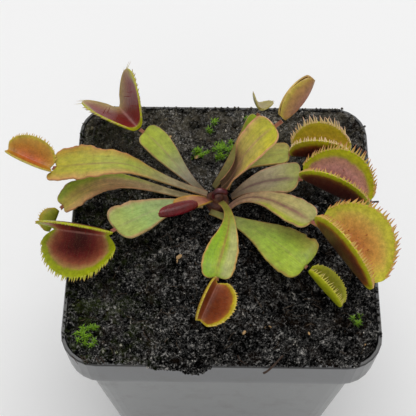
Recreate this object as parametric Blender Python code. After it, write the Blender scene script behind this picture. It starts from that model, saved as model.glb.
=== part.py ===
"""A potted Venus flytrap: a square nursery pot, its peat, a crown and a rosette of twelve leaves.

Run with blender --background --python part.py, or from Blender's text editor. Metres, +Z up.
X points right, Y points to the back. The origin is the middle of the pot's underside.

Each leaf is a flat winged stalk (leaf_NN) with a hinged trap of two lobes at its end (trap_NN).
"""

import math

import bmesh
import bpy
import numpy as np
from mathutils import Vector

MM = 0.001

# Pot, in millimetres
POT_HEIGHT = 95.0
RIM_SIDE = 90.0  # across the flats, outside, at the top
RIM_BAND = 12.9  # height of the stepped-out band under the rim
BAND_TAPER = 0.7  # how much the band draws in on each side, top to bottom
BAND_STEP = 3.2  # how far the wall lies inside the band
WALL_TAPER = 0.114  # how much the wall draws in on each side per millimetre down
WALL = 1.0
FLOOR = 1.4
RIM_CORNER = 10.3
BASE_CORNER = 7.0
FOOT_CHAMFER = 0.8
DRAIN_HOLE = 7.0  # diameter
DRAIN_CIRCLE = 21.0  # radius of the ring of holes
DRAIN_COUNT = 8

# Soil and crown, in millimetres above the rim's top
GAP = 0.3
SOIL_TOP = 0.2
SOIL_RELIEF = 0.7
SOIL_EDGE = -0.8
CROWN_AT = (-1.7, 8.4)
CROWN_HEIGHT = 5.0
CROWN_FOOT = 9.0  # radius of level soil round the crown
CROWN_PROFILE = [(3.4, 0.2 + GAP), (3.6, 1.4), (3.1, 2.5), (2.1, 3.1), (1.9, 4.3), (1.1, CROWN_HEIGHT)]
SOIL_RINGS = (0.93, 0.84, 0.74, 0.63, 0.52, 0.41, 0.30, 0.19, 0.08)  # shares of the soil's half width
MOSS_PROFILE = ((1.0, 0.0), (0.9, 0.6), (0.6, 1.1), (0.2, 1.3))  # share of the radius, height

# The bud: places along its middle line, from its root on the crown, and its radius at each
BUD_AT = (CROWN_AT[0] - 0.1, CROWN_AT[1] - 1.6, CROWN_HEIGHT + GAP + 0.6)
BUD_MIDDLE = [
    (-1.0, -0.4, 0), (-1.4, 0.0, 1.4), (-0.4, 0.6, 2.6),
    (1.4, 0.9, 2.9), (3.0, 0.7, 2.2), (3.7, 0.3, 1.2),
]
BUD_RADII = [0.6, 0.8, 1.1, 1.35, 1.15, 0.5]

# Leaves: sheet thickness in the middle and at the margin
BLADE_MIDRIB, BLADE_MARGIN = 1.0, 0.5
LOBE_MIDRIB, LOBE_MARGIN = 0.9, 0.5
BASE_WIDTH, NECK_WIDTH = 1.9, 1.7
BLADE_FOLD = 14.0  # degrees that each wing rises from the midrib
KEEL = 0.9  # radius of the rounding where two lobes meet
LOBE_START = 14.0  # degrees of the half oval left off at each end of a lobe
NECK_CLEAR = 0.9  # from the end of a stalk to its trap's hinge line

# Where stalks leave the crown: distance from its middle and height above the rim
WHORLS = {"lower": (4.7, 1.9), "upper": (3.0, 4.6)}

# One row per leaf: its whorl and its bearing round the crown in degrees; three more points that
# the stalk's midrib passes through, in millimetres from the rim's centre; its greatest width,
# where that comes (share of the length), how slowly it widens before, where the blade ends and
# the bare neck begins, and how far the blade's two shoulders reach past the neck's root.
STALKS = {
    "01": ("lower", 148, [(-13.5, 16.0, 8.0), (-18.5, 20.0, 12.0), (-25.5, 24.5, 16.0)],
           8.7, 0.78, 1.9, 0.94, 1),
    "02": ("upper", 175, [(-22.5, 11.0, 12.5), (-31.5, 11.0, 16.5), (-50.4, 11.6, 13.0)],
           12.0, 0.84, 2.6, 0.96, 3),
    "03": ("lower", 178, [(-22.0, 9.5, 7.0), (-35.0, 9.0, 9.5), (-48.0, 1.5, 6.0)],
           8.4, 0.84, 2.6, 0.97, 3),
    "04": ("lower", 206, [(-15.0, 4.0, 5.0), (-23.5, -2.0, 8.5), (-32.2, -9.4, 11.8)],
           12.6, 0.82, 1.7, 0.95, 1),
    "05": ("upper", 222, [(-6.5, 4.0, 8.0), (-10.5, 2.0, 9.5), (-14.5, 0.0, 10.0)],
           5.2, 0.75, 1.4, 0.97, 1),
    "06": ("upper", 295, [(1.8, -5.4, 10.5), (-0.2, -17.3, 14.0), (-1.5, -26.0, 13.0)],
           9.7, 0.82, 2.3, 0.97, 2),
    "07": ("lower", 246, [(10.5, -4.6, 4.6), (18.5, -12.5, 7.5), (24.5, -18.5, 8.0)],
           15.0, 0.86, 2.0, 0.98, 2),
    "08": ("lower", 322, [(10.5, 4.0, 9.8), (19.5, -2.2, 13.3), (27.5, -9.0, 15.6)],
           9.0, 0.78, 1.9, 0.92, 1),
    "09": ("lower", 14, [(7.0, 10.4, 5.2), (13.5, 10.9, 8.2), (24.1, 9.2, 12.2)],
           11.0, 0.80, 1.4, 0.94, 1),
    "10": ("lower", 54, [(5.0, 18.0, 5.0), (12.0, 20.3, 7.2), (21.1, 20.2, 9.4)],
           7.9, 0.84, 1.7, 0.97, 1),
    "11": ("upper", 58, [(4.0, 10.8, 13.9), (7.5, 11.3, 23.7), (17.0, 15.2, 33.2)],
           11.4, 0.76, 1.05, 0.92, 1),
    "12": ("lower", 100, [(1.6, 16.8, 7.4), (6.8, 22.6, 13.8), (10.6, 28.2, 20.0)],
           5.2, 0.82, 1.7, 0.96, 1),
}

# One row per trap: the hinge's stalk end, in millimetres from the rim's centre; the heading,
# pitch and roll of the hinge line in degrees; hinge length and lobe height; the angle between
# the lobes and how far each lobe cups; how far the margin outreaches the hinge, how square the
# oval is, and how many degrees the hinge line bows.
TRAPS = {
    "01": ((-25.5, 24.5, 16.0), (113, -34, -20), 22.0, 15.5, 66, 30, 0.20, 1.0, 4),
    "02": ((-50.7, 11.6, 13.2), (165, 20, 9), 13.0, 7.0, 88, 28, 0.12, 0.75, 6),
    "03": ((-48.3, 1.3, 6.0), (243, -25, 68), 6.4, 5.1, 18, 38, 0.16, 0.80, 16),
    "04": ((-32.6, -10.6, 12.2), (163, -15, -65), 17.0, 14.0, 76, 28, 0.40, 0.90, 4),
    "05": ((-7.4, -1.0, 13.2), (206, 12, 84), 11.6, 3.9, -21.8, 60, 0.06, 0.75, 30),
    "06": ((-1.4, -26.3, 13.5), (246, -13, -33), 11.2, 9.2, 56, 36, 0.18, 0.80, 6),
    "07": ((24.7, -19.3, 8.3), (316, -22, -40), 12.4, 6.0, 92, 44, 0.08, 0.80, 6),
    "08": ((27.6, -9.3, 16.3), (309, -14, -15), 20.0, 17.0, 48, 22, 0.26, 0.90, 4),
    "09": ((24.2, 9.2, 12.8), (337, -10, -14), 17.5, 13.5, 50, 31, 0.28, 0.95, 4),
    "10": ((21.3, 20.3, 9.4), (350, 14, -8), 16.4, 11.2, 34, 38, 0.12, 0.84, 10),
    "11": ((17.1, 15.3, 33.7), (44, 38, -24), 14.0, 7.3, -10, 64, 0.06, 0.85, 50),
    "12": ((10.8, 28.7, 20.2), (95, -38, 28), 7.2, 4.5, 84, 30, 0.20, 0.85, 4),
}

# Tufts of moss: place on the soil and radius, in millimetres
MOSS = {
    "1": (-7.4, 27.3, 3.4),
    "2": (0.0, 27.4, 3.4),
    "3": (-2.9, 36.3, 2.2),
    "4": (-37.5, -36.5, 3.4),
    "5": (38.5, -31.0, 2.6),
    "6": (6.8, 38.5, 2.6),
}

# Base colours, as linear RGB, and roughness
BLACK_PLASTIC = ((0.030, 0.031, 0.033), 0.45)
PEAT = ((0.012, 0.010, 0.009), 0.9)
CROWN_BROWN = ((0.060, 0.030, 0.020), 0.7)
YOUNG_RED = ((0.150, 0.020, 0.024), 0.35)
LEAF_GREEN = ((0.240, 0.330, 0.060), 0.45)
LEAF_BRONZE = ((0.260, 0.190, 0.090), 0.45)
TRAP_MAROON = ((0.180, 0.050, 0.035), 0.5)
TRAP_ORANGE = ((0.450, 0.180, 0.070), 0.5)
TRAP_LIME = ((0.330, 0.420, 0.040), 0.5)
MOSS_GREEN = ((0.130, 0.330, 0.040), 0.8)
STALK_COLOURS = {"05": LEAF_BRONZE, "11": LEAF_BRONZE}
TRAP_COLOURS = {
    "02": TRAP_ORANGE, "03": TRAP_LIME, "05": YOUNG_RED, "07": TRAP_LIME,
    "08": TRAP_LIME, "10": TRAP_LIME, "11": TRAP_ORANGE, "12": TRAP_LIME,
}


def clear_scene():
    for obj in list(bpy.data.objects):
        bpy.data.objects.remove(obj)


def material(name, look):
    colour, roughness = look
    made = bpy.data.materials.new(name)
    made.use_nodes = True
    shader = made.node_tree.nodes["Principled BSDF"]
    shader.inputs["Base Color"].default_value = (*colour, 1)
    shader.inputs["Roughness"].default_value = roughness
    return made


def add_object(name, bm, look, parent=None, location=(0, 0, 0), rotation=(0, 0, 0)):
    """Makes an object of a bmesh held in millimetres; location is in millimetres too."""
    bmesh.ops.scale(bm, vec=Vector((MM, MM, MM)), verts=bm.verts)
    bmesh.ops.recalc_face_normals(bm, faces=bm.faces)
    mesh = bpy.data.meshes.new(name)
    bm.to_mesh(mesh)
    bm.free()
    mesh.shade_smooth()
    mesh.set_sharp_from_angle(angle=math.radians(50))
    mesh.materials.append(material(name, look))
    obj = bpy.data.objects.new(name, mesh)
    bpy.context.scene.collection.objects.link(obj)
    obj.parent = parent
    obj.location = Vector(location) * MM
    obj.rotation_euler = [math.radians(angle) for angle in rotation]
    return obj


# Rings and lofts


def square_ring(half, corner, heights, corner_steps=4, side_steps=1):
    """Points of a rounded square, anticlockwise; heights is a number or a function of x, y."""
    points = []
    for quarter in range(4):
        turn = quarter * math.pi / 2
        middle = Vector((half - corner, half - corner))
        for step in range(corner_steps + 1):
            angle = step * math.pi / 2 / corner_steps
            local = middle + corner * Vector((math.cos(angle), math.sin(angle)))
            points.append(rotated(local, turn))
        flat_start = Vector((half - corner, half))
        for step in range(1, side_steps):
            local = flat_start - Vector((2 * (half - corner) * step / side_steps, 0))
            points.append(rotated(local, turn))
    level = heights if callable(heights) else lambda x, y: heights
    return [(x, y, level(x, y)) for x, y in points]


def rotated(point, turn):
    cosine, sine = math.cos(turn), math.sin(turn)
    return point.x * cosine - point.y * sine, point.x * sine + point.y * cosine


def round_ring(radius, height, count):
    angles = [2 * math.pi * k / count for k in range(count)]
    return [(radius * math.cos(a), radius * math.sin(a), height) for a in angles]


def loft(rings):
    """A bmesh skin over rings of equal point counts, with both ends capped."""
    bm = bmesh.new()
    loops = [[bm.verts.new(point) for point in ring] for ring in rings]
    for lower, upper in zip(loops, loops[1:]):
        count = len(lower)
        for k in range(count):
            bm.faces.new((lower[k], lower[(k + 1) % count], upper[(k + 1) % count], upper[k]))
    for loop in (loops[0], loops[-1]):
        bm.faces.new(loop)
    return bm


def sheet(grid, thickness):
    """A closed solid round a grid of middle points; thickness is one value per point."""
    along = np.gradient(grid, axis=0)
    across = np.gradient(grid, axis=1)
    normal = np.cross(along, across)
    normal /= np.linalg.norm(normal, axis=2)[..., None]
    half = thickness[..., None] / 2
    bm = bmesh.new()
    faces = [side_verts(bm, grid + normal * half), side_verts(bm, grid - normal * half)]
    rows, columns = grid.shape[:2]
    for side in faces:
        for i in range(rows - 1):
            for j in range(columns - 1):
                bm.faces.new((side[i][j], side[i + 1][j], side[i + 1][j + 1], side[i][j + 1]))
    rim = [(i, 0) for i in range(rows)] + [(rows - 1, j) for j in range(1, columns)]
    rim += [(i, columns - 1) for i in range(rows - 2, -1, -1)]
    rim += [(0, j) for j in range(columns - 2, 0, -1)]
    for (i, j), (k, m) in zip(rim, rim[1:] + rim[:1]):
        bm.faces.new((faces[0][i][j], faces[0][k][m], faces[1][k][m], faces[1][i][j]))
    return bm


def side_verts(bm, points):
    return [[bm.verts.new(point) for point in row] for row in points]


# Pot


def wall_half(z):
    """Outer half width of the plain wall at height z above the underside."""
    return RIM_SIDE / 2 - BAND_TAPER - BAND_STEP - WALL_TAPER * (POT_HEIGHT - RIM_BAND - z)


def wall_corner(z):
    return BASE_CORNER + (RIM_CORNER - BAND_STEP - BASE_CORNER) * z / POT_HEIGHT


def build_pot():
    rim_half = RIM_SIDE / 2
    band_low = POT_HEIGHT - RIM_BAND
    outside = [
        (wall_half(0) - FOOT_CHAMFER, wall_corner(0) - FOOT_CHAMFER, 0),
        (wall_half(FOOT_CHAMFER), wall_corner(0), FOOT_CHAMFER),
        (wall_half(band_low - 0.8), wall_corner(band_low), band_low - 0.8),
        (rim_half - BAND_TAPER - 0.6, RIM_CORNER - 0.6, band_low),
        (rim_half - BAND_TAPER, RIM_CORNER, band_low + 0.6),
        (rim_half, RIM_CORNER, POT_HEIGHT - 0.5),
        (rim_half - 0.3, RIM_CORNER - 0.3, POT_HEIGHT),
    ]
    inside = [
        (rim_half - WALL, RIM_CORNER - WALL, POT_HEIGHT),
        (rim_half - BAND_TAPER - WALL, RIM_CORNER - WALL, band_low + 1.6),
        (wall_half(band_low) - WALL, wall_corner(band_low) - WALL, band_low + 0.2),
        (wall_half(FLOOR) - WALL, wall_corner(FLOOR) - WALL, FLOOR),
    ]
    rings = [square_ring(*row, corner_steps=6) for row in outside + inside]
    pot = add_object("pot", loft(rings), BLACK_PLASTIC)
    for k in range(DRAIN_COUNT):
        angle = 2 * math.pi * (k + 0.5) / DRAIN_COUNT
        cutter_mesh = bmesh.new()
        radius = DRAIN_HOLE / 2
        bmesh.ops.create_cone(cutter_mesh, cap_ends=True, segments=16, radius1=radius, radius2=radius,
                              depth=6 * FLOOR)
        place = (DRAIN_CIRCLE * math.cos(angle), DRAIN_CIRCLE * math.sin(angle), FLOOR / 2)
        cutter = add_object(f"drain_cutter_{k}", cutter_mesh, BLACK_PLASTIC, location=place)
        cutter.hide_render = True
        cutter.display_type = "WIRE"
        hole = pot.modifiers.new(f"drain_{k}", "BOOLEAN")
        hole.operation = "DIFFERENCE"
        hole.object = cutter
    return pot


# Soil, crown and moss, in millimetres from the rim's centre


def soil_height(x, y):
    """Lumpy peat, level under the crown and lower along the wall."""
    lumps = math.sin(0.31 * x + 0.9) * math.cos(0.27 * y - 0.4)
    lumps += 0.6 * math.sin(0.53 * y - 0.35 * x)
    from_crown = math.hypot(x - CROWN_AT[0], y - CROWN_AT[1])
    spread = min(1.0, max(0.0, (from_crown - CROWN_FOOT) / 6))
    edge = max(abs(x), abs(y)) / (RIM_SIDE / 2 - WALL - GAP)
    fall = max(0.0, edge - 0.86) / 0.14
    return SOIL_TOP + SOIL_RELIEF * lumps * spread * (1 - fall) + (SOIL_EDGE - SOIL_TOP) * fall


def build_soil(plant):
    top_half = RIM_SIDE / 2 - WALL - GAP
    band_low = POT_HEIGHT - RIM_BAND
    clear = WALL + GAP + 0.1
    rows = [
        (wall_half(FLOOR) - clear, wall_corner(FLOOR) - clear, FLOOR + GAP - POT_HEIGHT),
        (wall_half(band_low) - clear, wall_corner(band_low) - clear, 0.9 - RIM_BAND),
        (top_half - BAND_TAPER, RIM_CORNER - clear, 2.8 - RIM_BAND),
        (top_half - 0.1, RIM_CORNER - clear, soil_height),
    ]
    rings = [square_ring(*row, corner_steps=3, side_steps=8) for row in rows]
    for share in SOIL_RINGS:
        half = share * top_half
        rings.append(square_ring(half, share * (RIM_CORNER - clear), soil_height, 3, 8))
    add_object("soil", loft(rings), PEAT, plant)


def build_crown(plant):
    """The short rootstock that the leaves rise from: a turned body, wide below, slim above."""
    rings = [round_ring(radius, height, 14) for radius, height in CROWN_PROFILE]
    add_object("crown", loft(rings), CROWN_BROWN, plant, (*CROWN_AT, 0))


def build_young_leaf(plant):
    """The next leaf, still curled up: a hooked bud on the crown."""
    last = len(BUD_MIDDLE) - 1
    rings = []
    for k, (point, radius) in enumerate(zip(BUD_MIDDLE, BUD_RADII)):
        before = Vector(BUD_MIDDLE[max(k - 1, 0)])
        after = Vector(BUD_MIDDLE[min(k + 1, last)])
        turn = (after - before).to_track_quat("Z", "Y")
        rings.append([Vector(point) + turn @ Vector(offset) for offset in round_ring(radius, 0, 10)])
    add_object("young_leaf", loft(rings), YOUNG_RED, plant, BUD_AT)


def build_moss(plant, number, place):
    x, y, radius = place
    rings = [round_ring(share * radius, height, 10) for share, height in MOSS_PROFILE]
    offsets = (-radius, 0, radius)
    highest = max(soil_height(x + dx, y + dy) for dx in offsets for dy in offsets)
    add_object(f"moss_{number}", loft(rings), MOSS_GREEN, plant, (x, y, highest + 2 * GAP))


# Leaves


def through_points(points, share):
    """The cubic that passes through four points at shares 0, 1/3, 2/3 and 1."""
    nodes = (0, 1 / 3, 2 / 3, 1)
    total = np.zeros(3)
    for k, point in enumerate(points):
        weight = 1.0
        for m, node in enumerate(nodes):
            if m != k:
                weight *= (share - node) / (nodes[k] - node)
        total += weight * np.array(point, float)
    return total


def blade_half(share, width, widest, slowness, blade_end):
    """Half width at a share of the length: a slow widening, a blunt end, then the bare neck."""
    if share < widest:
        grown = math.sin(math.pi / 2 * (share / widest) ** slowness)
        return BASE_WIDTH / 2 + (width - BASE_WIDTH) / 2 * grown
    past = min(1.0, (share - widest) / (blade_end - widest))
    return NECK_WIDTH / 2 + (width - NECK_WIDTH) / 2 * math.sqrt(1 - past**2.6)


def stalk_base(whorl, bearing):
    distance, height = WHORLS[whorl]
    angle = math.radians(bearing)
    x = CROWN_AT[0] + distance * math.cos(angle)
    y = CROWN_AT[1] + distance * math.sin(angle)
    return (x, y, height)


def build_stalk(
    plant, number, whorl, bearing, points, width, widest, slowness, blade_end, shoulder, rows=12
):
    points = [stalk_base(whorl, bearing)] + points
    shares = np.concatenate([np.linspace(0, widest, rows - 4), [(widest + 2 * blade_end) / 3]])
    shares = np.concatenate([shares, [blade_end - 0.012, blade_end, 1.0]])
    curve = np.array([through_points(points, t) for t in np.linspace(0, 1, 81)])
    length = np.concatenate([[0], np.cumsum(np.linalg.norm(np.diff(curve, axis=0), axis=1))])
    reach = (length[-1] - NECK_CLEAR) / length[-1]
    columns = np.array([-1, -0.5, 0, 0.5, 1])
    rise = math.radians(BLADE_FOLD)
    grid = np.zeros((len(shares), len(columns), 3))
    thickness = np.zeros((len(shares), len(columns)))
    for i, share in enumerate(shares):
        parameter = np.interp(share * reach * length[-1], length, np.linspace(0, 1, 81))
        middle = through_points(points, parameter)
        heading = through_points(points, parameter + 0.01)
        heading -= through_points(points, parameter - 0.01)
        heading /= np.linalg.norm(heading)
        left = np.cross((0, 0, 1), heading)
        left /= np.linalg.norm(left)
        up = np.cross(heading, left)
        half = blade_half(share, width, widest, slowness, blade_end)
        past = min(1.0, max(0.0, (share - widest) / (blade_end - widest)))
        for j, column in enumerate(columns):
            wing = column * math.cos(rise) * left + abs(column) * math.sin(rise) * up
            reach_past = shoulder * past**2 * abs(column) * 2 * half / width
            grid[i, j] = middle + half * wing + reach_past * heading - points[0]
            thickness[i, j] = BLADE_MIDRIB + (BLADE_MARGIN - BLADE_MIDRIB) * abs(column)
    look = STALK_COLOURS.get(number, LEAF_GREEN)
    add_object(f"leaf_{number}", sheet(grid, thickness), look, plant, points[0])


def lobe_profile(gape, cup, height, steps):
    """(side, up) of a lobe's section from the hinge to the margin: a rounded keel, then a cupped wall."""
    start = gape / 2 + cup / 2
    side, up = [0.0], [0.0]
    fine = 12
    for k in range(steps * fine):
        share = (k + 0.5) / (steps * fine)
        angle = gape / 2 + cup * (0.5 - share) + (90 - start) * math.exp(-share * height / KEEL)
        step = height / (steps * fine)
        side.append(side[-1] + step * math.sin(math.radians(angle)))
        up.append(up[-1] + step * math.cos(math.radians(angle)))
    return side[::fine], up[::fine]


def build_trap(
    plant, number, place, turn, length, height, gape, cup, fan, square, bow, rows=11, steps=4
):
    first = math.radians(LOBE_START)
    arc = math.radians(bow)
    radius = length / arc
    grid = np.zeros((rows, 2 * steps + 1, 3))
    for i in range(rows):
        angle = first + (math.pi - 2 * first) * i / (rows - 1)
        on_hinge = length * (1 - math.cos(angle) / math.cos(first)) / 2
        on_margin = length * (1 - (1 + fan) * math.cos(angle) / math.cos(first)) / 2
        sides, ups = lobe_profile(gape, cup, height * math.sin(angle) ** square, steps)
        for j in range(-steps, steps + 1):
            share = math.sin(math.pi / 2 * abs(j) / steps)
            along = on_hinge + (on_margin - on_hinge) * share
            bend = along * arc / length - arc / 2
            side, up = sides[abs(j)], ups[abs(j)]
            x = (radius - up) * math.sin(bend) + radius * math.sin(arc / 2)
            z = radius * math.cos(arc / 2) - (radius - up) * math.cos(bend)
            grid[i, j + steps] = (x, math.copysign(side, j), z)
    share = np.abs(np.linspace(-1, 1, 2 * steps + 1))
    thickness = np.tile(LOBE_MIDRIB + (LOBE_MARGIN - LOBE_MIDRIB) * share, (rows, 1))
    heading, pitch, roll = turn
    look = TRAP_COLOURS.get(number, TRAP_MAROON)
    add_object(f"trap_{number}", sheet(grid, thickness), look, plant, place, (roll, -pitch, heading))


def main():
    clear_scene()
    build_pot()
    plant = bpy.data.objects.new("plant", None)
    bpy.context.scene.collection.objects.link(plant)
    plant.location = (0, 0, POT_HEIGHT * MM)
    build_soil(plant)
    build_crown(plant)
    build_young_leaf(plant)
    for number, place in MOSS.items():
        build_moss(plant, number, place)
    for number, row in STALKS.items():
        build_stalk(plant, number, *row)
    for number, row in TRAPS.items():
        build_trap(plant, number, *row)


main()
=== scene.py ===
"""The looks of a potted Venus flytrap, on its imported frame: fine leaves and traps, peat, moss and light.

Places are millimetres from the middle of the pot's rim, and become metres in the row frame when a
mesh is made. X points right, Y to the back, Z up.
"""

import math

import bpy
import numpy as np
from mathutils import Matrix, Vector, noise


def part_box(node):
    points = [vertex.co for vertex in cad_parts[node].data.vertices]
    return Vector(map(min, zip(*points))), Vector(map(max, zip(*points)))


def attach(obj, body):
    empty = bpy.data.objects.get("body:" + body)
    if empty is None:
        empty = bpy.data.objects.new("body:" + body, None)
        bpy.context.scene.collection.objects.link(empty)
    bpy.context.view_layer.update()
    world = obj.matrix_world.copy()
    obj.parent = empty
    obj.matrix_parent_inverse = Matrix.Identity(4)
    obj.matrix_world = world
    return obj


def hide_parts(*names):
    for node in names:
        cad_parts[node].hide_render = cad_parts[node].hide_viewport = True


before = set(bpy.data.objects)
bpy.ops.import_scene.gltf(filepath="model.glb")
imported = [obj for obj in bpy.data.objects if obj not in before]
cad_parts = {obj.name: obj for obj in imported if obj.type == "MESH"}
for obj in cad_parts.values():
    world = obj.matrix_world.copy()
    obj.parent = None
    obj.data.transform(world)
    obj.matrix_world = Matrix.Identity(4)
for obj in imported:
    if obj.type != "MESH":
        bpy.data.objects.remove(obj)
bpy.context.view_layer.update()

MM = 0.001
_, POT_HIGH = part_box("pot")
RIM_TOP = POT_HIGH.z / MM
RIM_HALF = POT_HIGH.x / MM

# Camera, from the middle of the rim: place, lens and sensor in millimetres, turns in radians
CAMERA_AT = (-1.366, -170.244, 278.712)
CAMERA_YAW = 0.0169
CAMERA_PITCH = 1.005
CAMERA_ROLL = -0.00287
LENS, SENSOR = 95.21, 36.0

# Stage, in metres and watts
FLOOR_HALF = 3.0
SKY = 0.52
LIT_POINT = (0, 0, 0.09)
SOFTBOXES = (("top_box", (0.0, 0.24, 0.85), 0.6, 3.6), ("front_box", (0.0, -0.9, 0.6), 0.9, 1.2))

# Pot and soil
WALL = 1.0
GAP = 0.3
RIM_CORNER = 10.3
SOIL_TOP, SOIL_EDGE, SOIL_RELIEF = 0.2, -0.1, 0.7
SOIL_STEP = 0.31  # between neighbouring points of the surface
SOIL_FLOOR = 1.7 - RIM_TOP
SOIL_SIDES = ((0.983, -11.9), (0.893, -12.6), (0.715, SOIL_FLOOR))  # shrinking, at these levels
CORNER_FROM = 34.0  # from the middle, where the pot's corners begin
NEEDLE_RADII = [0.14, 0.2, 0.22, 0.22, 0.2, 0.17, 0.12, 0.05]
FLAKES = [  # place, size and angle
    (-7.6, 26.2, 1.5, 20), (6.4, -34.6, 1.0, 60), (-12.5, -9.6, 1.3, 35), (-13.2, -10.8, 0.8, 80),
    (0.8, 4.2, 0.6, 10), (24.6, -34.4, 0.7, 100), (40.0, -37.6, 0.5, 50), (34.0, 27.5, 1.0, 15),
    (-16.5, 33.0, 0.9, 70), (-11.5, 3.5, 0.5, 10), (13.0, -33.0, 1.3, 5),
]
CRUMBS, RIM_CRUMBS, STRANDS, SPILLED, FIBRES = 4200, 1500, 3600, 700, 230
CROWN_AT = (-1.7, 8.4)
CROWN_FOOT = 9.0  # level peat round the crown, as a radius
CROWN_PROFILE = [  # radius and height
    (3.4, 0.5), (3.6, 1.4), (3.1, 2.5), (2.1, 3.1), (1.9, 4.3), (1.1, 5.0),
]

# The bud: its foot, its middle line from there and the radius along it
BUD_AT = (-1.8, 6.8, 5.9)
BUD_SCALE = 0.85
BUD_MIDDLE = [(-1.0, -0.4, 0), (-1.4, 0.0, 1.4), (-0.4, 0.6, 2.6), (1.4, 0.9, 2.9), (3.0, 0.7, 2.2),
              (3.7, 0.3, 1.2)]
BUD_RADII = [0.5, 0.6, 0.8, 0.98, 0.85, 0.4]

# Leaves
BLADE_MIDRIB, BLADE_MARGIN = 1.0, 0.4
LOBE_MIDRIB, LOBE_MARGIN = 0.9, 0.4
BASE_WIDTH, NECK_WIDTH = 1.9, 1.1
BROAD_BASES = {"11": 5.0}
BLADE_FOLD = 14.0  # degrees that each wing rises from the midrib
KEEL = 0.9  # height over which a lobe rounds off into its hinge
LOBE_START = 14.0  # degrees of the half circle that a trap leaves out at each end
NECK_CLEAR = 0.9  # left bare between the stalk and its trap's place
BLADE_ROWS, BLADE_TIP_ROWS, BLADE_COLUMNS = 72, 22, 25
CURVE_STEPS = 81
LOBE_ROWS, LOBE_STEPS = 65, 22
RIM_SCALE = 18.0  # millimetres from a lobe's margin that the "rim" attribute's 1 stands for
# Distance from the crown's middle and height at which a whorl's stalks start
WHORLS = {"lower": (4.7, 1.9), "upper": (3.0, 4.6)}

# Whorl, bearing, three points of the midrib, width, share of the length where it is widest, slowness of
# the widening, share where the blade ends, and how far its right and left shoulders reach past that
STALKS = {
    "01": ("lower", 148, [(-13.5, 16.0, 8.0), (-18.5, 20.0, 12.0), (-25.5, 24.5, 16.0)],
           8.7, 0.78, 1.9, 0.94, (1, 1)),
    "02": ("upper", 175, [(-22.5, 11.0, 12.5), (-31.5, 11.0, 16.5), (-50.4, 11.6, 13.0)],
           12.0, 0.84, 2.6, 0.975, (3, 6)),
    "03": ("lower", 178, [(-22.0, 9.5, 7.0), (-35.0, 9.0, 9.5), (-48.0, 1.5, 6.0)],
           8.4, 0.84, 2.6, 0.97, (2, 3)),
    "04": ("lower", 206, [(-15.0, 4.0, 5.0), (-23.5, -2.0, 8.5), (-32.2, -9.4, 11.8)],
           12.6, 0.82, 1.7, 0.95, (1, 1)),
    "05": ("upper", 222, [(-6.5, 4.0, 8.0), (-10.5, 2.0, 9.5), (-14.5, 0.0, 10.0)],
           5.2, 0.75, 1.4, 0.97, (1, 1)),
    "06": ("upper", 295, [(1.8, -5.4, 10.5), (-0.2, -17.3, 14.0), (-1.5, -26.0, 13.0)],
           9.7, 0.82, 2.3, 0.97, (2, 2)),
    "07": ("lower", 246, [(10.5, -4.6, 4.6), (18.5, -12.5, 7.5), (24.5, -18.5, 8.0)],
           15.0, 0.86, 2.0, 0.98, (2, 1)),
    "08": ("lower", 322, [(10.5, 4.0, 9.8), (19.5, -2.2, 13.3), (27.5, -9.0, 15.6)],
           9.0, 0.78, 1.9, 0.92, (1, 1)),
    "09": ("lower", 14, [(7.0, 10.4, 5.2), (13.5, 10.9, 8.2), (24.1, 9.2, 12.2)],
           11.0, 0.80, 1.4, 0.94, (1, 1)),
    "10": ("lower", 54, [(5.0, 18.0, 5.0), (12.0, 20.3, 7.2), (21.1, 20.2, 9.4)],
           7.9, 0.84, 1.7, 0.97, (1, 1)),
    "11": ("upper", 58, [(4.0, 10.8, 13.9), (7.5, 11.3, 23.7), (17.0, 15.2, 33.2)],
           11.4, 0.76, 1.3, 0.92, (1, 0)),
    "12": ("lower", 100, [(1.6, 16.8, 7.4), (6.8, 22.6, 13.8), (10.6, 28.2, 20.0)],
           5.2, 0.82, 1.7, 0.96, (1, 1)),
}

# Place, (heading, pitch, roll), length of hinge, height of lobe, gape, cup, fan (how far the margin
# outgrows the hinge), square (below 1 for fuller ends) and bow of the hinge; angles in degrees
TRAPS = {
    "01": ((-25.5, 24.5, 16.0), (113, -34, -20), 22.0, 15.5, 66, 30, 0.20, 1.0, 4),
    "02": ((-50.7, 11.6, 13.2), (165, 20, 9), 13.0, 7.0, 88, 28, 0.12, 0.75, 6),
    "03": ((-48.3, 1.3, 6.0), (243, -25, 68), 6.4, 5.1, 18, 38, 0.16, 0.80, 16),
    "04": ((-32.6, -10.6, 12.2), (163, -15, -65), 17.0, 14.0, 76, 28, 0.40, 0.90, 4),
    "05": ((-7.4, -1.0, 13.2), (206, 12, 84), 11.6, 3.9, -21.8, 60, 0.06, 0.75, 30),
    "06": ((-1.4, -26.3, 13.5), (246, -13, -33), 11.2, 9.2, 56, 36, 0.18, 0.80, 6),
    "07": ((24.7, -19.3, 8.3), (316, -22, -40), 12.4, 6.0, 92, 44, 0.08, 0.80, 6),
    "08": ((27.6, -9.3, 16.3), (309, -14, -15), 20.0, 17.0, 48, 22, 0.26, 0.90, 4),
    "09": ((24.2, 9.2, 12.8), (337, -10, -14), 17.5, 13.5, 50, 31, 0.28, 0.95, 4),
    "10": ((21.3, 20.3, 9.4), (350, 14, -8), 16.4, 11.2, 34, 38, 0.12, 0.84, 10),
    "11": ((17.1, 15.3, 33.7), (44, 38, -24), 13.4, 7.3, -10, 64, 0.16, 0.7, 50),
    "12": ((10.8, 28.7, 20.2), (95, -38, 28), 7.2, 4.5, 84, 30, 0.20, 0.85, 4),
}

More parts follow.
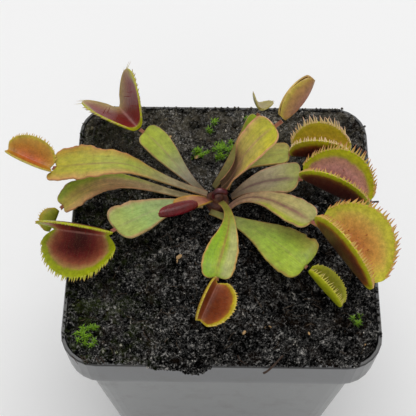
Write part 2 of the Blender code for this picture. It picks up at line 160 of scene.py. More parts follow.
# Teeth along a lobe's margin: how many, root's radius, (length, outward lean) of right and left lobe
TEETH = {
    "01": (34, 0.22, (1.4, 0.8), (1.4, 0.8)), "02": (30, 0.17, (1.1, 0.2), (0.9, 0.2)),
    "03": (12, 0.13, (0.9, 0.0), (0.9, 0.0)), "04": (40, 0.24, (1.3, 0.2), (1.8, 0.35)),
    "06": (26, 0.18, (1.0, 0.2), (1.0, 0.2)),
    "07": (24, 0.17, (1.7, -0.5), (0.7, 0.2)), "08": (40, 0.28, (2.1, -0.8), (2.5, 0.15)),
    "09": (36, 0.27, (1.5, -0.5), (2.7, 0.15)), "10": (32, 0.25, (1.3, -0.2), (3.2, 0.1)),
    "12": (12, 0.12, (0.7, 0.1), (0.7, 0.1)),
}
TOOTH_TAPER = np.array([1.5, 1.1, 0.85, 0.62, 0.38, 0.1])
SPARSE_HAIRS = ("01", 0.45, 0.72, 2.9, 0.36)  # trap, from where, share left out, length, thinness
TRIGGERED = ("01", "04", "08", "09")  # the traps whose trigger hairs show
TRAP_SLOTS = {"01": "trap_maroon", "02": "trap_orange", "04": "trap_maroon", "05": "young_leaf",
              "06": "trap_maroon", "09": "trap_maroon", "11": "trap_orange"}

# Moss: place and radius, number of shoots
MOSS = {
    "1": (-7.4, 27.3, 2.4, 12), "2": (0.0, 27.4, 3.3, 24), "3": (-2.9, 36.3, 2.0, 5),
    "4": (-37.5, -36.5, 3.2, 16), "5": (38.5, -31.0, 2.4, 5), "6": (6.8, 38.5, 2.4, 6),
}

# What a waxy skin does to a pigment's colour
RICHNESS, GAIN, SHEEN = 0.10, 1.14, 0.010


# Colours


def plain(red, green, blue):
    """Linear colour of a screen colour given from 0 to 255."""
    linear = [((c / 255 + 0.055) / 1.055) ** 2.4 if c > 10 else c / 255 / 12.92 for c in (red, green, blue)]
    return (*linear, 1.0)


def paint(red, green, blue):
    """Pigment that looks like a screen colour once a waxy sheen has paled it."""
    linear = plain(red, green, blue)[:3]
    grey = sum(linear) / 3
    return (*(max(0.003, GAIN * (c + RICHNESS * (c - grey)) - SHEEN) for c in linear), 1.0)


def stops(rows, scale=1.0):
    """Stops of a ramp, from rows of place, red, green and blue."""
    return [(place / scale, paint(*colour)) for place, *colour in rows]


class Graph:
    """One material: its nodes are added round its Principled BSDF."""

    def __init__(self, name, roughness=0.5, specular=0.5):
        self.material = bpy.data.materials.new(name)
        self.material.use_nodes = True
        self.tree = self.material.node_tree
        self.shader = self.tree.nodes["Principled BSDF"]
        self.shader.inputs["Roughness"].default_value = roughness
        self.shader.inputs["Specular IOR Level"].default_value = specular

    def feed(self, socket, value):
        if isinstance(value, bpy.types.NodeSocket):
            self.tree.links.new(value, socket)
        else:
            socket.default_value = value

    def node(self, kind, inputs, **settings):
        """The outputs of a new node with these settings and inputs."""
        made = self.tree.nodes.new("ShaderNode" + kind)
        for name, value in settings.items():
            setattr(made, name, value)
        for key, value in inputs.items():
            self.feed(made.inputs[key], value)
        return made.outputs

    def math(self, operation, *values):
        return self.node("Math", dict(enumerate(values)), operation=operation)[0]

    def add(self, first, second):
        return self.math("ADD", first, second)

    def times(self, first, second):
        return self.math("MULTIPLY", first, second)

    def attribute(self, name):
        return self.node("Attribute", {}, attribute_name=name)["Fac"]

    def step(self, value, low, high):
        """0 below low and 1 above high, smooth between; high may be the lower one."""
        low, high, first, last = (high, low, 1.0, 0.0) if high < low else (low, high, 0.0, 1.0)
        inputs = {"Value": value, "From Min": low, "From Max": high, "To Min": first, "To Max": last}
        return self.node("MapRange", inputs, interpolation_type="SMOOTHSTEP")["Result"]

    def mix(self, factor, first, second, blend="MIX"):
        return self.node("Mix", {0: factor, 6: first, 7: second}, data_type="RGBA", blend_type=blend)[2]

    def wash(self, colour, tint, *shares):
        """The tint over the colour, as strong as the product of the shares."""
        factor = shares[0]
        for share in shares[1:]:
            factor = self.times(factor, share)
        return self.mix(factor, colour, tint)

    def mottle(self, colour, scale):
        """Small light and dark patches."""
        shade = self.math("MULTIPLY_ADD", self.noise(scale, 5, 0.75), 1.5, 0.25)
        return self.mix(1.0, colour, shade, "MULTIPLY")

    def ramp(self, value, rows):
        colour = self.node("ValToRGB", {"Fac": value})["Color"]
        elements = colour.node.color_ramp.elements
        while len(elements) < len(rows):
            elements.new(0.5)
        for element, (place, shade) in zip(elements, rows):
            element.position = place
            element.color = shade
        return colour

    def places(self):
        return self.node("TexCoord", {})["Object"]

    def axes(self):
        """A place's x, y and z in metres."""
        return self.node("SeparateXYZ", {0: self.places()})

    def noise(self, scale, detail=3.0, roughness=0.55, vector=None):
        """Noise from 0 to 1; scale counts per metre where vector is left out."""
        inputs = {"Vector": vector or self.places(), "Scale": scale}
        return self.node("TexNoise", inputs | {"Detail": detail, "Roughness": roughness})["Fac"]

    def plane(self, first, first_scale, second, second_scale):
        inputs = {0: self.times(first, first_scale), 1: self.times(second, second_scale)}
        return self.node("CombineXYZ", inputs)[0]

    def bump(self, height, distance, strength=1.0, below=None):
        inputs = {"Strength": strength, "Distance": distance, "Height": height}
        if below is not None:
            inputs["Normal"] = below
        return self.node("Bump", inputs)["Normal"]

    def finish(self, colour, normal=None, roughness=None):
        self.feed(self.shader.inputs["Base Color"], colour)
        if normal is not None:
            self.feed(self.shader.inputs["Normal"], normal)
        if roughness is not None:
            self.feed(self.shader.inputs["Roughness"], roughness)
        return self.material


# Meshes


def to_frame(points):
    return (np.asarray(points, float) + (0, 0, RIM_TOP)) * MM


def make_piece(name, points, faces, material, attributes=None, sharp=60, replaces=None, slot=None):
    """An object riding on the root, of points in millimetres from the rim's middle."""
    mesh = bpy.data.meshes.new(name)
    mesh.from_pydata(to_frame(points).tolist(), [], [list(face) for face in faces])
    mesh.materials.append(material)
    for key, values in (attributes or {}).items():
        layer = mesh.attributes.new(key, "FLOAT", "POINT")
        layer.data.foreach_set("value", np.asarray(values, np.float32))
    mesh.shade_smooth()
    mesh.set_sharp_from_angle(angle=math.radians(sharp))
    obj = bpy.data.objects.new(name, mesh)
    bpy.context.scene.collection.objects.link(obj)
    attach(obj, "root")
    if replaces:
        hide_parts(replaces)


class Pile:
    """Collects many small shapes for one mesh, each with its own value of every attribute."""

    def __init__(self, *names):
        self.points, self.faces, self.count = [], [], 0
        self.attributes = {name: [] for name in names}

    def add(self, points, faces, **values):
        self.points.append(np.asarray(points, float))
        self.faces += [tuple(index + self.count for index in face) for face in faces]
        for name, held in self.attributes.items():
            held.append(np.broadcast_to(values[name], len(points)))
        self.count += len(points)

    def piece(self, name, material, **settings):
        held = {key: np.concatenate(values) for key, values in self.attributes.items()}
        make_piece(name, np.concatenate(self.points), self.faces, material, held, **settings)


def clamp(value):
    return min(1.0, max(0.0, value))


def unit(vectors):
    return vectors / np.linalg.norm(vectors, axis=-1, keepdims=True)


def grid_faces(rows, columns):
    """Quads of a grid of points, and the points round its edge in order."""
    number = np.arange(rows * columns).reshape(rows, columns)
    corners = [number[:-1, :-1], number[1:, :-1], number[1:, 1:], number[:-1, 1:]]
    edge = [*number[:, 0], *number[-1, 1:], *number[-2::-1, -1], *number[0, -2:0:-1]]
    return np.stack(corners, -1).reshape(-1, 4), edge


def ring_faces(rings, sides):
    """Faces between rings of points, with a cap on each end."""
    faces = []
    for low in range(0, (rings - 1) * sides, sides):
        for m in range(sides):
            after = (m + 1) % sides
            faces.append((low + m, low + after, low + sides + after, low + sides + m))
    return faces + [tuple(range(sides))[::-1], tuple((rings - 1) * sides + m for m in range(sides))]


def sheet(grid, thickness):
    """Points and faces of a closed solid round a grid; the first half of the points is the inner side."""
    normal = unit(np.cross(np.gradient(grid, axis=0), np.gradient(grid, axis=1)))
    half = thickness[..., None] / 2
    rows, columns = grid.shape[:2]
    quads, edge = grid_faces(rows, columns)
    total = rows * columns
    band = [(a, a + total, b + total, b) for a, b in zip(edge, edge[1:] + edge[:1])]
    points = np.concatenate([(grid + normal * half).reshape(-1, 3), (grid - normal * half).reshape(-1, 3)])
    faces = quads.tolist() + (quads[:, ::-1] + total).tolist() + band
    return points, faces, normal


def tube(points, radii, sides=6):
    """Points and faces of a closed tube along points, which narrows as its radii say."""
    points = np.asarray(points, float)
    heading = unit(np.gradient(points, axis=0))
    aside = np.cross(heading[0], (0.3, 0.2, 1.0))
    rings = []
    for place, along, radius in zip(points, heading, radii):
        aside = unit(aside - along * (aside @ along))
        other = np.cross(along, aside)
        angles = 2 * math.pi * np.arange(sides)[:, None] / sides
        rings.append(place + radius * (np.cos(angles) * aside + np.sin(angles) * other))
    return np.concatenate(rings), ring_faces(len(rings), sides)


def smooth_path(points, count):
    """Points along a smooth line through the given ones."""
    points = np.asarray(points, float)
    knots = np.linspace(0, 1, len(points))
    fine = np.linspace(0, 1, count)
    order = min(3, len(points) - 1)
    return np.stack([np.polyval(np.polyfit(knots, points[:, k], order), fine) for k in range(3)], 1)


def lump(radius, rng, stretch=(1.0, 1.0, 0.7)):
    """A small irregular crumb: twelve corners of an icosahedron pushed about at random."""
    golden = (1 + math.sqrt(5)) / 2
    corners = [(-1, golden, 0), (1, golden, 0), (-1, -golden, 0), (1, -golden, 0)]
    corners += [(0, -1, golden), (0, 1, golden), (0, -1, -golden), (0, 1, -golden)]
    corners += [(golden, 0, -1), (golden, 0, 1), (-golden, 0, -1), (-golden, 0, 1)]
    points = unit(np.array(corners))
    points = points * rng.uniform(0.62, 1.15, (12, 1)) * radius
    turn = np.array(Matrix.Rotation(rng.uniform(0, 2 * math.pi), 3, rng.normal(size=3).tolist()))
    return points @ turn.T * np.array(stretch)


LUMP_FACES = [
    (0, 11, 5), (0, 5, 1), (0, 1, 7), (0, 7, 10), (0, 10, 11), (1, 5, 9), (5, 11, 4), (11, 10, 2),
    (10, 7, 6), (7, 1, 8), (3, 9, 4), (3, 4, 2), (3, 2, 6), (3, 6, 8), (3, 8, 9), (4, 9, 5),
    (2, 4, 11), (6, 2, 10), (8, 6, 7), (9, 8, 1),
]


# Pot


def pot_material():
    g = Graph("pot_plastic", roughness=0.36, specular=0.5)
    g.shader.inputs["Coat Weight"].default_value = 0.4
    g.shader.inputs["Coat Roughness"].default_value = 0.35
    grain = g.noise(900, 4)
    dust = g.step(g.noise(110, 5, 0.7), 0.46, 0.78)
    height = g.axes()[2]
    low = g.step(height, (RIM_TOP - 10.0) * MM, (RIM_TOP - 14.0) * MM)
    colour = g.mix(g.add(g.times(low, 0.8), g.times(grain, 0.2)), plain(92, 93, 95), plain(126, 127, 127))
    colour = g.wash(colour, plain(122, 120, 115), dust, 0.4)
    colour = g.wash(colour, plain(40, 34, 28), g.step(g.noise(1100, 3, 0.7), 0.69, 0.74), 0.8)
    soiled = g.step(height, (RIM_TOP - 1.0) * MM, (RIM_TOP - 0.2) * MM)
    colour = g.mix(soiled, colour, g.mix(dust, plain(30, 30, 30), plain(56, 52, 46)))
    roughness = g.add(g.times(dust, 0.22), g.add(g.times(grain, 0.12), 0.32))
    normal = g.bump(g.noise(2600, 3), 0.00004, 0.6)
    return g.finish(colour, normal, roughness)


# Peat


def soil_height(x, y):
    """Broad shape of the peat: lumpy, level round the crown, and lower along the wall."""
    lumps = math.sin(0.31 * x + 0.9) * math.cos(0.27 * y - 0.4)
    lumps += 0.6 * math.sin(0.53 * y - 0.35 * x)
    from_crown = math.hypot(x - CROWN_AT[0], y - CROWN_AT[1])
    spread = clamp((from_crown - CROWN_FOOT) / 6)
    edge = max(abs(x), abs(y)) / (RIM_HALF - WALL - GAP)
    fall = max(0.0, edge - 0.96) / 0.04
    return SOIL_TOP + SOIL_RELIEF * lumps * spread * (1 - fall) + (SOIL_EDGE - SOIL_TOP) * fall


def crumb_height(x, y):
    """Crumbs and pores on the broad shape: three sizes of round grains on fractal roughness."""
    grains = 0.0
    for size, share in ((3.1, 0.8), (1.5, 0.9), (0.8, 0.7)):
        place = Vector((x / size, y / size, 3.7 * size))
        near = noise.voronoi(place)[0][0]
        grains += share * size * 0.72 * (math.sqrt(max(0.0, 0.8 - near)) - 0.6)
    rough = noise.fractal(Vector((x / 4.0, y / 4.0, 1.3)), 0.7, 2.1, 6)
    return grains + 1.1 * rough


def soil_surface(x, y):
    edge = max(abs(x), abs(y)) / (RIM_HALF - WALL - GAP)
    inside = 1 - 0.6 * clamp((edge - 0.95) / 0.05)
    return soil_height(x, y) + inside * crumb_height(x, y)


def corner_pull(points, half, corner):
    """Rounds the corners of a square grid by drawing the points there in towards each corner's middle."""
    beyond = np.abs(points) - (half - corner)
    both = (beyond > 0).all(axis=1)
    longest = beyond.max(axis=1)
    span = np.linalg.norm(np.maximum(beyond, 0), axis=1)
    scale = np.where(both, longest / np.maximum(span, 1e-9), 1.0)
    moved = np.sign(points) * (half - corner + beyond * scale[:, None])
    return np.where(both[:, None], moved, points)


def soil_material():
    g = Graph("moist_peat", roughness=0.6)
    fine, coarse, broad = g.noise(1900, 3, 0.7), g.noise(760, 4, 0.7), g.noise(140, 3, 0.6)
    blend = g.add(g.add(g.times(fine, 0.45), g.times(coarse, 0.37)), g.times(broad, 0.18))
    # The ramp runs from near-black peat to grey-white specks; the specks are painted glints of wet crumbs,
    # beside the real glint that the specular mask gives.
    colour = g.ramp(blend, [
        (0.44, plain(1, 1, 1)), (0.50, plain(13, 13, 13)), (0.55, plain(54, 53, 50)),
        (0.595, plain(172, 168, 162)),
    ])
    colour = g.wash(colour, plain(44, 34, 26), g.step(g.noise(170, 3), 0.50, 0.68), 0.4)
    x, y, _ = g.axes()
    west, algae = g.step(x, -0.010, -0.038), g.step(g.noise(300, 4, 0.7), 0.46, 0.62)
    colour = g.wash(colour, plain(60, 70, 32), west, algae, 0.5)
    back, dried = g.step(y, 0.004, 0.030), g.step(g.noise(260, 4, 0.7), 0.36, 0.60)
    colour = g.wash(colour, plain(112, 106, 92), back, dried, 0.5)
    # A high tone makes a crumb or strand up to 3.6 times paler: random tone, and at the pale end painted
    # glints.
    tones = [(0.0, (0.2, 0.2, 0.2, 1)), (0.5, (1, 1, 1, 1)), (1.0, (3.6, 3.5, 3.3, 1))]
    colour = g.mix(1.0, colour, g.ramp(g.attribute("tone"), tones), "MULTIPLY")
    wet = g.step(blend, 0.46, 0.58)
    g.feed(g.shader.inputs["Specular IOR Level"], g.times(wet, 0.9))
    roughness = g.math("MULTIPLY_ADD", g.noise(1700, 3), -1.2, 1.0)
    normal = g.bump(fine, 0.0006, 1.0)
    return g.finish(colour, normal, roughness)


def build_soil(material):
    half = RIM_HALF - WALL - GAP - 0.1
    corner = RIM_CORNER - WALL - GAP
    count = int(2 * half / SOIL_STEP) + 1
    ticks = np.linspace(-half, half, count)
    flat = np.stack(np.meshgrid(ticks, ticks, indexing="ij"), -1).reshape(-1, 2)
    flat = corner_pull(flat, half, corner)
    heights = [soil_surface(x, y) for x, y in flat]
    quads, rim = grid_faces(count, count)
    points, faces = [np.column_stack([flat, heights])], quads.tolist()
    start, above = count * count, rim
    for share, level in SOIL_SIDES:
        points.append(np.column_stack([flat[rim] * share, np.full(len(rim), level)]))
        below = list(range(start, start + len(rim)))
        for k in range(len(rim)):
            after = (k + 1) % len(rim)
            faces.append((above[k], below[k], below[after], above[after]))
        start, above = start + len(rim), below
    faces.append(tuple(above)[::-1])
    points = np.concatenate(points)
    tone = {"tone": np.full(len(points), 0.5)}
    make_piece("peat", points, faces, material, tone, sharp=80, replaces="soil", slot="peat")


def past_corner(x, y, spare):
    """Whether a place lies outside the pot's round corners."""
    beyond = (abs(x) - CORNER_FROM, abs(y) - CORNER_FROM)
    return min(beyond) > 0 and math.hypot(*beyond) > spare


def scatter_crumbs(material, rng):
    """Loose crumbs lying on the peat and along the rim."""
    pile = Pile("tone")
    reach = RIM_HALF - 0.7
    for _ in range(CRUMBS):
        x, y = rng.uniform(-reach, reach, 2)
        if past_corner(x, y, 9):
            continue
        radius = 0.26 + 0.75 * rng.random() ** 3
        # Most crumbs differ in tone at random; the few that get 0.45 more are painted glints.
        tone = 0.15 + 0.4 * rng.random() + (0.45 if rng.random() < 0.12 else 0)
        place = (x, y, soil_surface(x, y) + 0.25 * radius)
        pile.add(lump(radius, rng) + place, LUMP_FACES, tone=tone)
    for _ in range(RIM_CRUMBS):
        side = rng.integers(0, 4) if rng.random() < 0.5 else 0
        along = rng.uniform(-1, 1) * (RIM_HALF - 7)
        out = RIM_HALF - 0.4 - 1.5 * rng.random()
        x, y = ((along, -out), (out, along), (along, out), (-out, along))[side]
        radius = 0.18 + 0.4 * rng.random() ** 2
        points = lump(radius, rng) + (x, y, 0.1 + 0.2 * rng.random())
        pile.add(points, LUMP_FACES, tone=0.15 + 0.4 * rng.random())
    pile.piece("crumbs", material, slot="peat")


def scatter_strands(material, rng):
    """Short bent shreds lying among the crumbs."""
    pile = Pile("tone")
    reach = RIM_HALF - 2.2
    for _ in range(STRANDS):
        x, y = rng.uniform(-reach, reach, 2)
        if past_corner(x, y, 8):
            continue
        angle, length, bend = rng.uniform(0, 2 * math.pi), rng.uniform(0.7, 2.4), rng.normal()
        foot = np.array([x, y, soil_surface(x, y) + 0.12])
        path = []
        for share in np.linspace(0, 1, 4):
            turn, away = angle + bend * share, length * share
            lift = 0.35 * math.sin(math.pi * share)
            path.append(foot + (away * math.cos(turn), away * math.sin(turn), lift))
        # Most strands differ in tone at random; the few that get 0.4 more are painted glints.
        tone = 0.1 + 0.45 * rng.random() + (0.4 if rng.random() < 0.16 else 0)
        pile.add(*tube(path, (0.10, 0.13, 0.11, 0.05), 4), tone=tone)
    pile.piece("strands", material, slot="peat")


def spill_peat(material, rng):
    """The tongue of crumbs that hangs over the front rim, deepest near its right end."""
    pile = Pile("tone")
    for _ in range(SPILLED):
        share = rng.random()
        x = -19.6 + 15.4 * share + rng.normal() * 0.7
        depth = max(0.2, 9.0 * share ** 2.4 * (1 if share < 0.88 else (1 - share) / 0.12))
        depth *= 0.75 + 0.5 * noise.noise(Vector((x * 1.1, 2.0, 5.0)))
        drop = rng.random() ** 1.3
        y = -RIM_HALF + 1.6 - 2.0 * min(1.0, drop * 2.2) + 0.3 * rng.normal()
        z = 0.35 - depth * max(0.0, drop - 0.25) / 0.75
        points = lump(0.28 + 0.38 * rng.random(), rng) + (x, max(y, -RIM_HALF - 1.0), z)
        pile.add(points, LUMP_FACES, tone=0.3 + 0.3 * rng.random())
    pile.piece("spilled_peat", material, slot="peat")


def fibre_material():
    g = Graph("peat_fibre", roughness=0.75)
    colour = g.mix(g.noise(700, 3), paint(34, 26, 20), paint(96, 82, 66))
    return g.finish(colour, g.bump(g.noise(3000, 2), 0.0001, 0.6))


def scatter_fibres(material, rng):
    """Longer brown threads that follow the peat's surface."""
    pile = Pile()
    reach = RIM_HALF - 5
    for _ in range(FIBRES):
        x, y = rng.uniform(-reach, reach, 2)
        angle, length = rng.uniform(0, 2 * math.pi), rng.uniform(1.5, 5.0)
        bend = rng.normal() * 0.5
        path = []
        for share in np.linspace(0, 1, 6):
            px = x + length * share * math.cos(angle + bend * share)
            py = y + length * share * math.sin(angle + bend * share)
            path.append((px, py, soil_surface(px, py) + 0.22 + 0.3 * math.sin(math.pi * share)))
        pile.add(*tube(path, np.linspace(0.11, 0.04, 6), 4))
    pile.piece("fibres", material, slot="peat")


def litter_look(name, grain, dark, pale, bumps=None, roughness=0.7):
    """Two colours mixed by a noise of this scale and detail; bumps are a scale and a strength."""
    g = Graph(name, roughness=roughness)
    normal = g.bump(g.noise(bumps[0], 3), 0.0002, bumps[1]) if bumps else None
    return g.finish(g.mix(g.noise(*grain), paint(*dark), paint(*pale)), normal)


def build_litter(rng):
    """The few bits that stand out on the peat: roots over the rim, two needles and some flakes of bark."""
    pile = Pile()
    front = -RIM_HALF
    over = [(17.0, front + 3.2, 0.9), (15.4, front + 1.4, 0.9), (13.4, front - 0.5, 0.2),
            (11.8, front - 0.9, -1.6)]
    beside = [(4.6, front + 3.2, 0.8), (5.2, front + 1.6, 1.2), (7.0, front + 0.6, 0.9)]
    pile.add(*tube(smooth_path(over, 14), np.linspace(0.22, 0.34, 14), 7))
    pile.add(*tube(smooth_path(beside, 9), np.linspace(0.16, 0.08, 9), 6))
    for x, y in ((44.0, 14.4), (44.2, 8.4)):
        path = smooth_path([(x - 2.0, y - 0.4, 0.6), (x, y + 0.2, 1.2), (x + 2.6, y + 0.6, 1.0)], 8)
        pile.add(*tube(path, np.linspace(0.2, 0.32, 8), 6))
    for x in range(-41, -31, 2):
        thread = [(x, front + 2.6, 0.3), (x + 1.0, front + 1.2, 0.6), (x + 1.8, front + 0.2, -0.1)]
        shift = rng.normal(size=3) * 0.5 * (1, 0.3, 0.1)
        pile.add(*tube(smooth_path(thread, 7) + shift, np.linspace(0.14, 0.05, 7), 5))
    pile.piece("roots", litter_look("old_root", (500, 3), (30, 22, 17), (70, 50, 36), (1500, 0.8)))
    pile = Pile()
    for low, high in (((-0.6, -6.4, 1.2), (0.6, -2.2, 3.2)), ((0.9, -6.2, 1.2), (1.4, -1.4, 3.4))):
        middle = (np.array(low) + high) / 2 + (0.2, 0, 0.4)
        pile.add(*tube(smooth_path([low, middle, high], 8), NEEDLE_RADII, 6))
    look = litter_look("old_needle", (900, 2), (190, 92, 44), (226, 140, 96), roughness=0.5)
    pile.piece("needles", look)
    pile = Pile()
    for x, y, size, angle in FLAKES:
        shape = lump(size, rng, (1.0, 0.55, 0.28))
        turn = np.array(Matrix.Rotation(math.radians(angle), 3, "Z"))
        pile.add(shape @ turn.T + (x, y, soil_surface(x, y) + 0.35), LUMP_FACES)
    look = litter_look("bark_flake", (600, 4), (116, 92, 62), (206, 172, 128), (1800, 0.9))
    pile.piece("flakes", look)


# Moss


def moss_material():
    g = Graph("moss_green", roughness=0.45)
    greens = stops([(0.0, 20, 34, 10), (0.5, 66, 100, 22), (1.0, 128, 166, 46)])
    colour = g.wash(g.ramp(g.attribute("tone"), greens), paint(110, 140, 40), g.noise(1200, 2), 0.3)
    return g.finish(colour, g.bump(g.noise(4000, 2), 0.0001, 0.4))


def leaflet(pile, root, heading, length, width, tone):
    """A narrow folded leaflet that rises from root and bends over along heading."""
    heading = unit(np.array(heading))
    aside = unit(np.cross(heading, (0.1, 0.05, 1.0)))
    up = np.cross(aside, heading)
    shares = np.linspace(0, 1, 5)
    points = []
    for share in shares:
        middle = root + heading * length * share + up * length * (0.25 * share - 0.35 * share ** 2)
        half = width / 2 * math.sin(math.pi * (0.12 + 0.86 * share)) ** 0.8
        points += [middle - aside * half + up * half * 0.5, middle, middle + aside * half + up * half * 0.5]
    faces = []
    for k in range(4):
        row = 3 * k
        faces += [(row, row + 1, row + 4, row + 3), (row + 1, row + 2, row + 5, row + 4)]
    tones = np.repeat(np.clip(tone + 0.35 * shares, 0, 1), 3)
    pile.add(points, faces, tone=tones)


def build_moss(material, rng):
    for number, (x, y, radius, shoots) in MOSS.items():
        pile = Pile("tone")
        for _ in range(shoots):
            angle, away = rng.uniform(0, 2 * math.pi), radius * math.sqrt(rng.random())
            px, py = x + away * math.cos(angle), y + away * math.sin(angle)
            foot = np.array([px, py, soil_surface(px, py) - 0.1])
            lean = (0.25 * rng.normal(), 0.25 * rng.normal())
            top = foot + (*lean, rng.uniform(0.8, 2.0) * (1.15 - 0.5 * away / radius))
            pile.add(*tube([foot, (foot + top) / 2, top], [0.12, 0.1, 0.08], 5), tone=0.15)
            start = rng.uniform(0, 2 * math.pi)
            for k in range(11):
                around = start + 2.4 * k
                at = foot + (top - foot) * (0.35 + 0.06 * k)
                pointing = (math.cos(around), math.sin(around), 0.25 + 0.09 * k)
                length = rng.uniform(0.9, 1.7)
                leaflet(pile, at, pointing, length, 0.30, 0.05 + 0.05 * k + 0.2 * rng.random())
        pile.piece(f"moss_tuft_{number}", material, replaces=f"moss_{number}", slot="moss")


# Leaves


def through_points(points, share):
    """The cubic that passes through four points at shares 0, 1/3, 2/3 and 1."""
    nodes = (0, 1 / 3, 2 / 3, 1)
    total = np.zeros(3)
    for k, point in enumerate(points):
        weight = 1.0
        for m, node in enumerate(nodes):
            if m != k:
                weight *= (share - node) / (nodes[k] - node)
        total += weight * np.array(point, float)
    return total


def blade_half(share, base, width, widest, slowness, blade_end):
    """Half width at a share of the length: a slow widening, a blunt end, then the bare neck."""
    if share < widest:
        grown = math.sin(math.pi / 2 * (share / widest) ** slowness)
        return base / 2 + (width - base) / 2 * grown
    past = min(1.0, (share - widest) / (blade_end - widest))
    return NECK_WIDTH / 2 + (width - NECK_WIDTH) / 2 * math.sqrt(1 - past**4.2)


def blade_grid(number, wave):
    whorl, bearing, points, width, widest, slowness, blade_end, shoulders = STALKS[number]
    distance, height = WHORLS[whorl]
    angle = math.radians(bearing)
    base = (CROWN_AT[0] + distance * math.cos(angle), CROWN_AT[1] + distance * math.sin(angle), height)
    points = [base] + points
    eased = 1 - (1 - np.linspace(0, 1, BLADE_TIP_ROWS + 1)[1:]) ** 2
    shares = np.concatenate([
        np.linspace(0, widest, BLADE_ROWS - BLADE_TIP_ROWS - 5),
        widest + (blade_end - widest) * eased,
        np.linspace(blade_end, 1.0, 6)[1:],
    ])
    steps = np.linspace(0, 1, CURVE_STEPS)
    curve = np.array([through_points(points, t) for t in steps])
    length = np.concatenate([[0], np.cumsum(np.linalg.norm(np.diff(curve, axis=0), axis=1))])
    reach = (length[-1] - NECK_CLEAR) / length[-1]
    columns = np.linspace(-1, 1, BLADE_COLUMNS)
    rise = math.radians(BLADE_FOLD)
    grid = np.zeros((len(shares), len(columns), 3))
    seed = int(number) * 7.3
    for i, share in enumerate(shares):
        parameter = np.interp(share * reach * length[-1], length, steps)
        middle = through_points(points, parameter)
        heading = unit(through_points(points, parameter + 0.01) - through_points(points, parameter - 0.01))
        left = unit(np.cross((0, 0, 1), heading))
        up = np.cross(heading, left)
        half = blade_half(share, BROAD_BASES.get(number, BASE_WIDTH), width, widest, slowness, blade_end)
        past = clamp((share - widest) / (blade_end - widest))
        ripple = wave * clamp((share - 0.3) / 0.4) * min(1.0, 2 * half / width)
        for j, column in enumerate(columns):
            side = 1 if column > 0 else -1
            at = share * length[-1]
            wander = noise.noise(Vector((at * 0.34, side * 5.0, seed)))
            notch = noise.noise(Vector((at * 0.9, side * 9.0, seed + 3)))
            here = half * (1 + abs(column) ** 4 * ripple * (0.06 * wander + 0.09 * notch))
            lift = ripple * abs(column) ** 3 * 1.5 * wander
            dish = 0.10 * half * (1 - column**2) * min(1.0, 2 * half / width)
            wing = column * math.cos(rise) * left + abs(column) * math.sin(rise) * up
            shoulder = shoulders[1] if column > 0 else shoulders[0]
            beyond = shoulder * past**2 * abs(column) * 2 * half / width
            grid[i, j] = middle + here * wing + (lift - dish * abs(column)) * up + beyond * heading
    return grid, shares, columns


VEIN, FRECKLE = paint(112, 120, 62), paint(170, 130, 90)
NECK, PALE_UNDER = paint(140, 72, 74), paint(150, 150, 90)


def blade_material(number):
    run, margin, midrib, _, washes = BLADE_LOOKS[number]
    g = Graph(f"blade_{number}_skin", roughness=0.42, specular=0.45)
    along, across, inner = g.attribute("along"), g.attribute("across"), g.attribute("inner")
    edge = g.math("ABSOLUTE", across)
    blotch = g.math("SUBTRACT", g.noise(240, 4, 0.6), 0.5)
    streak = g.noise(1.0, 3, 0.6, g.plane(across, 9.0, along, 5.0))
    fine = g.noise(1.0, 2, 0.5, g.plane(across, 26.0, along, 9.0))
    colour = g.ramp(g.add(along, g.times(blotch, 0.22)), stops(run))
    for side, start, end, strength, *tint in washes:
        spread = g.step(g.add(g.times(across, side), g.times(blotch, 0.5)), start, end)
        body = g.times(g.step(along, 0.25, 0.55), g.step(along, 0.99, 0.93))
        colour = g.wash(colour, paint(*tint), spread, body, strength)
    width, strength, *tint = midrib
    rib = g.step(g.add(edge, g.times(g.math("SUBTRACT", streak, 0.5), width)), width, 0.0)
    colour = g.wash(colour, paint(*tint), rib, g.step(along, 1.02, 0.75), strength)
    colour = g.wash(colour, VEIN, g.step(streak, 0.40, 0.70), 0.32)
    colour = g.wash(colour, FRECKLE, g.step(g.noise(900, 3), 0.55, 0.75), 0.18)
    width, strength, *tint = margin
    rim = g.step(g.add(edge, g.times(blotch, 0.25)), 1 - width, 1.0)
    colour = g.wash(colour, paint(*tint), rim, strength)
    colour = g.mottle(colour, 520)
    end = STALKS[number][6]
    colour = g.wash(colour, NECK, g.step(along, end - 0.005, end + 0.012), 0.85)
    colour = g.mix(inner, g.mix(0.45, colour, PALE_UNDER), colour)
    normal = g.bump(fine, 0.00022, 0.8)
    normal = g.bump(g.noise(2400, 2), 0.00006, 0.5, normal)
    return g.finish(colour, normal, g.math("MULTIPLY_ADD", blotch, 0.35, 0.42))


PINK_EDGE = (0.08, 0.6, 176, 122, 106)

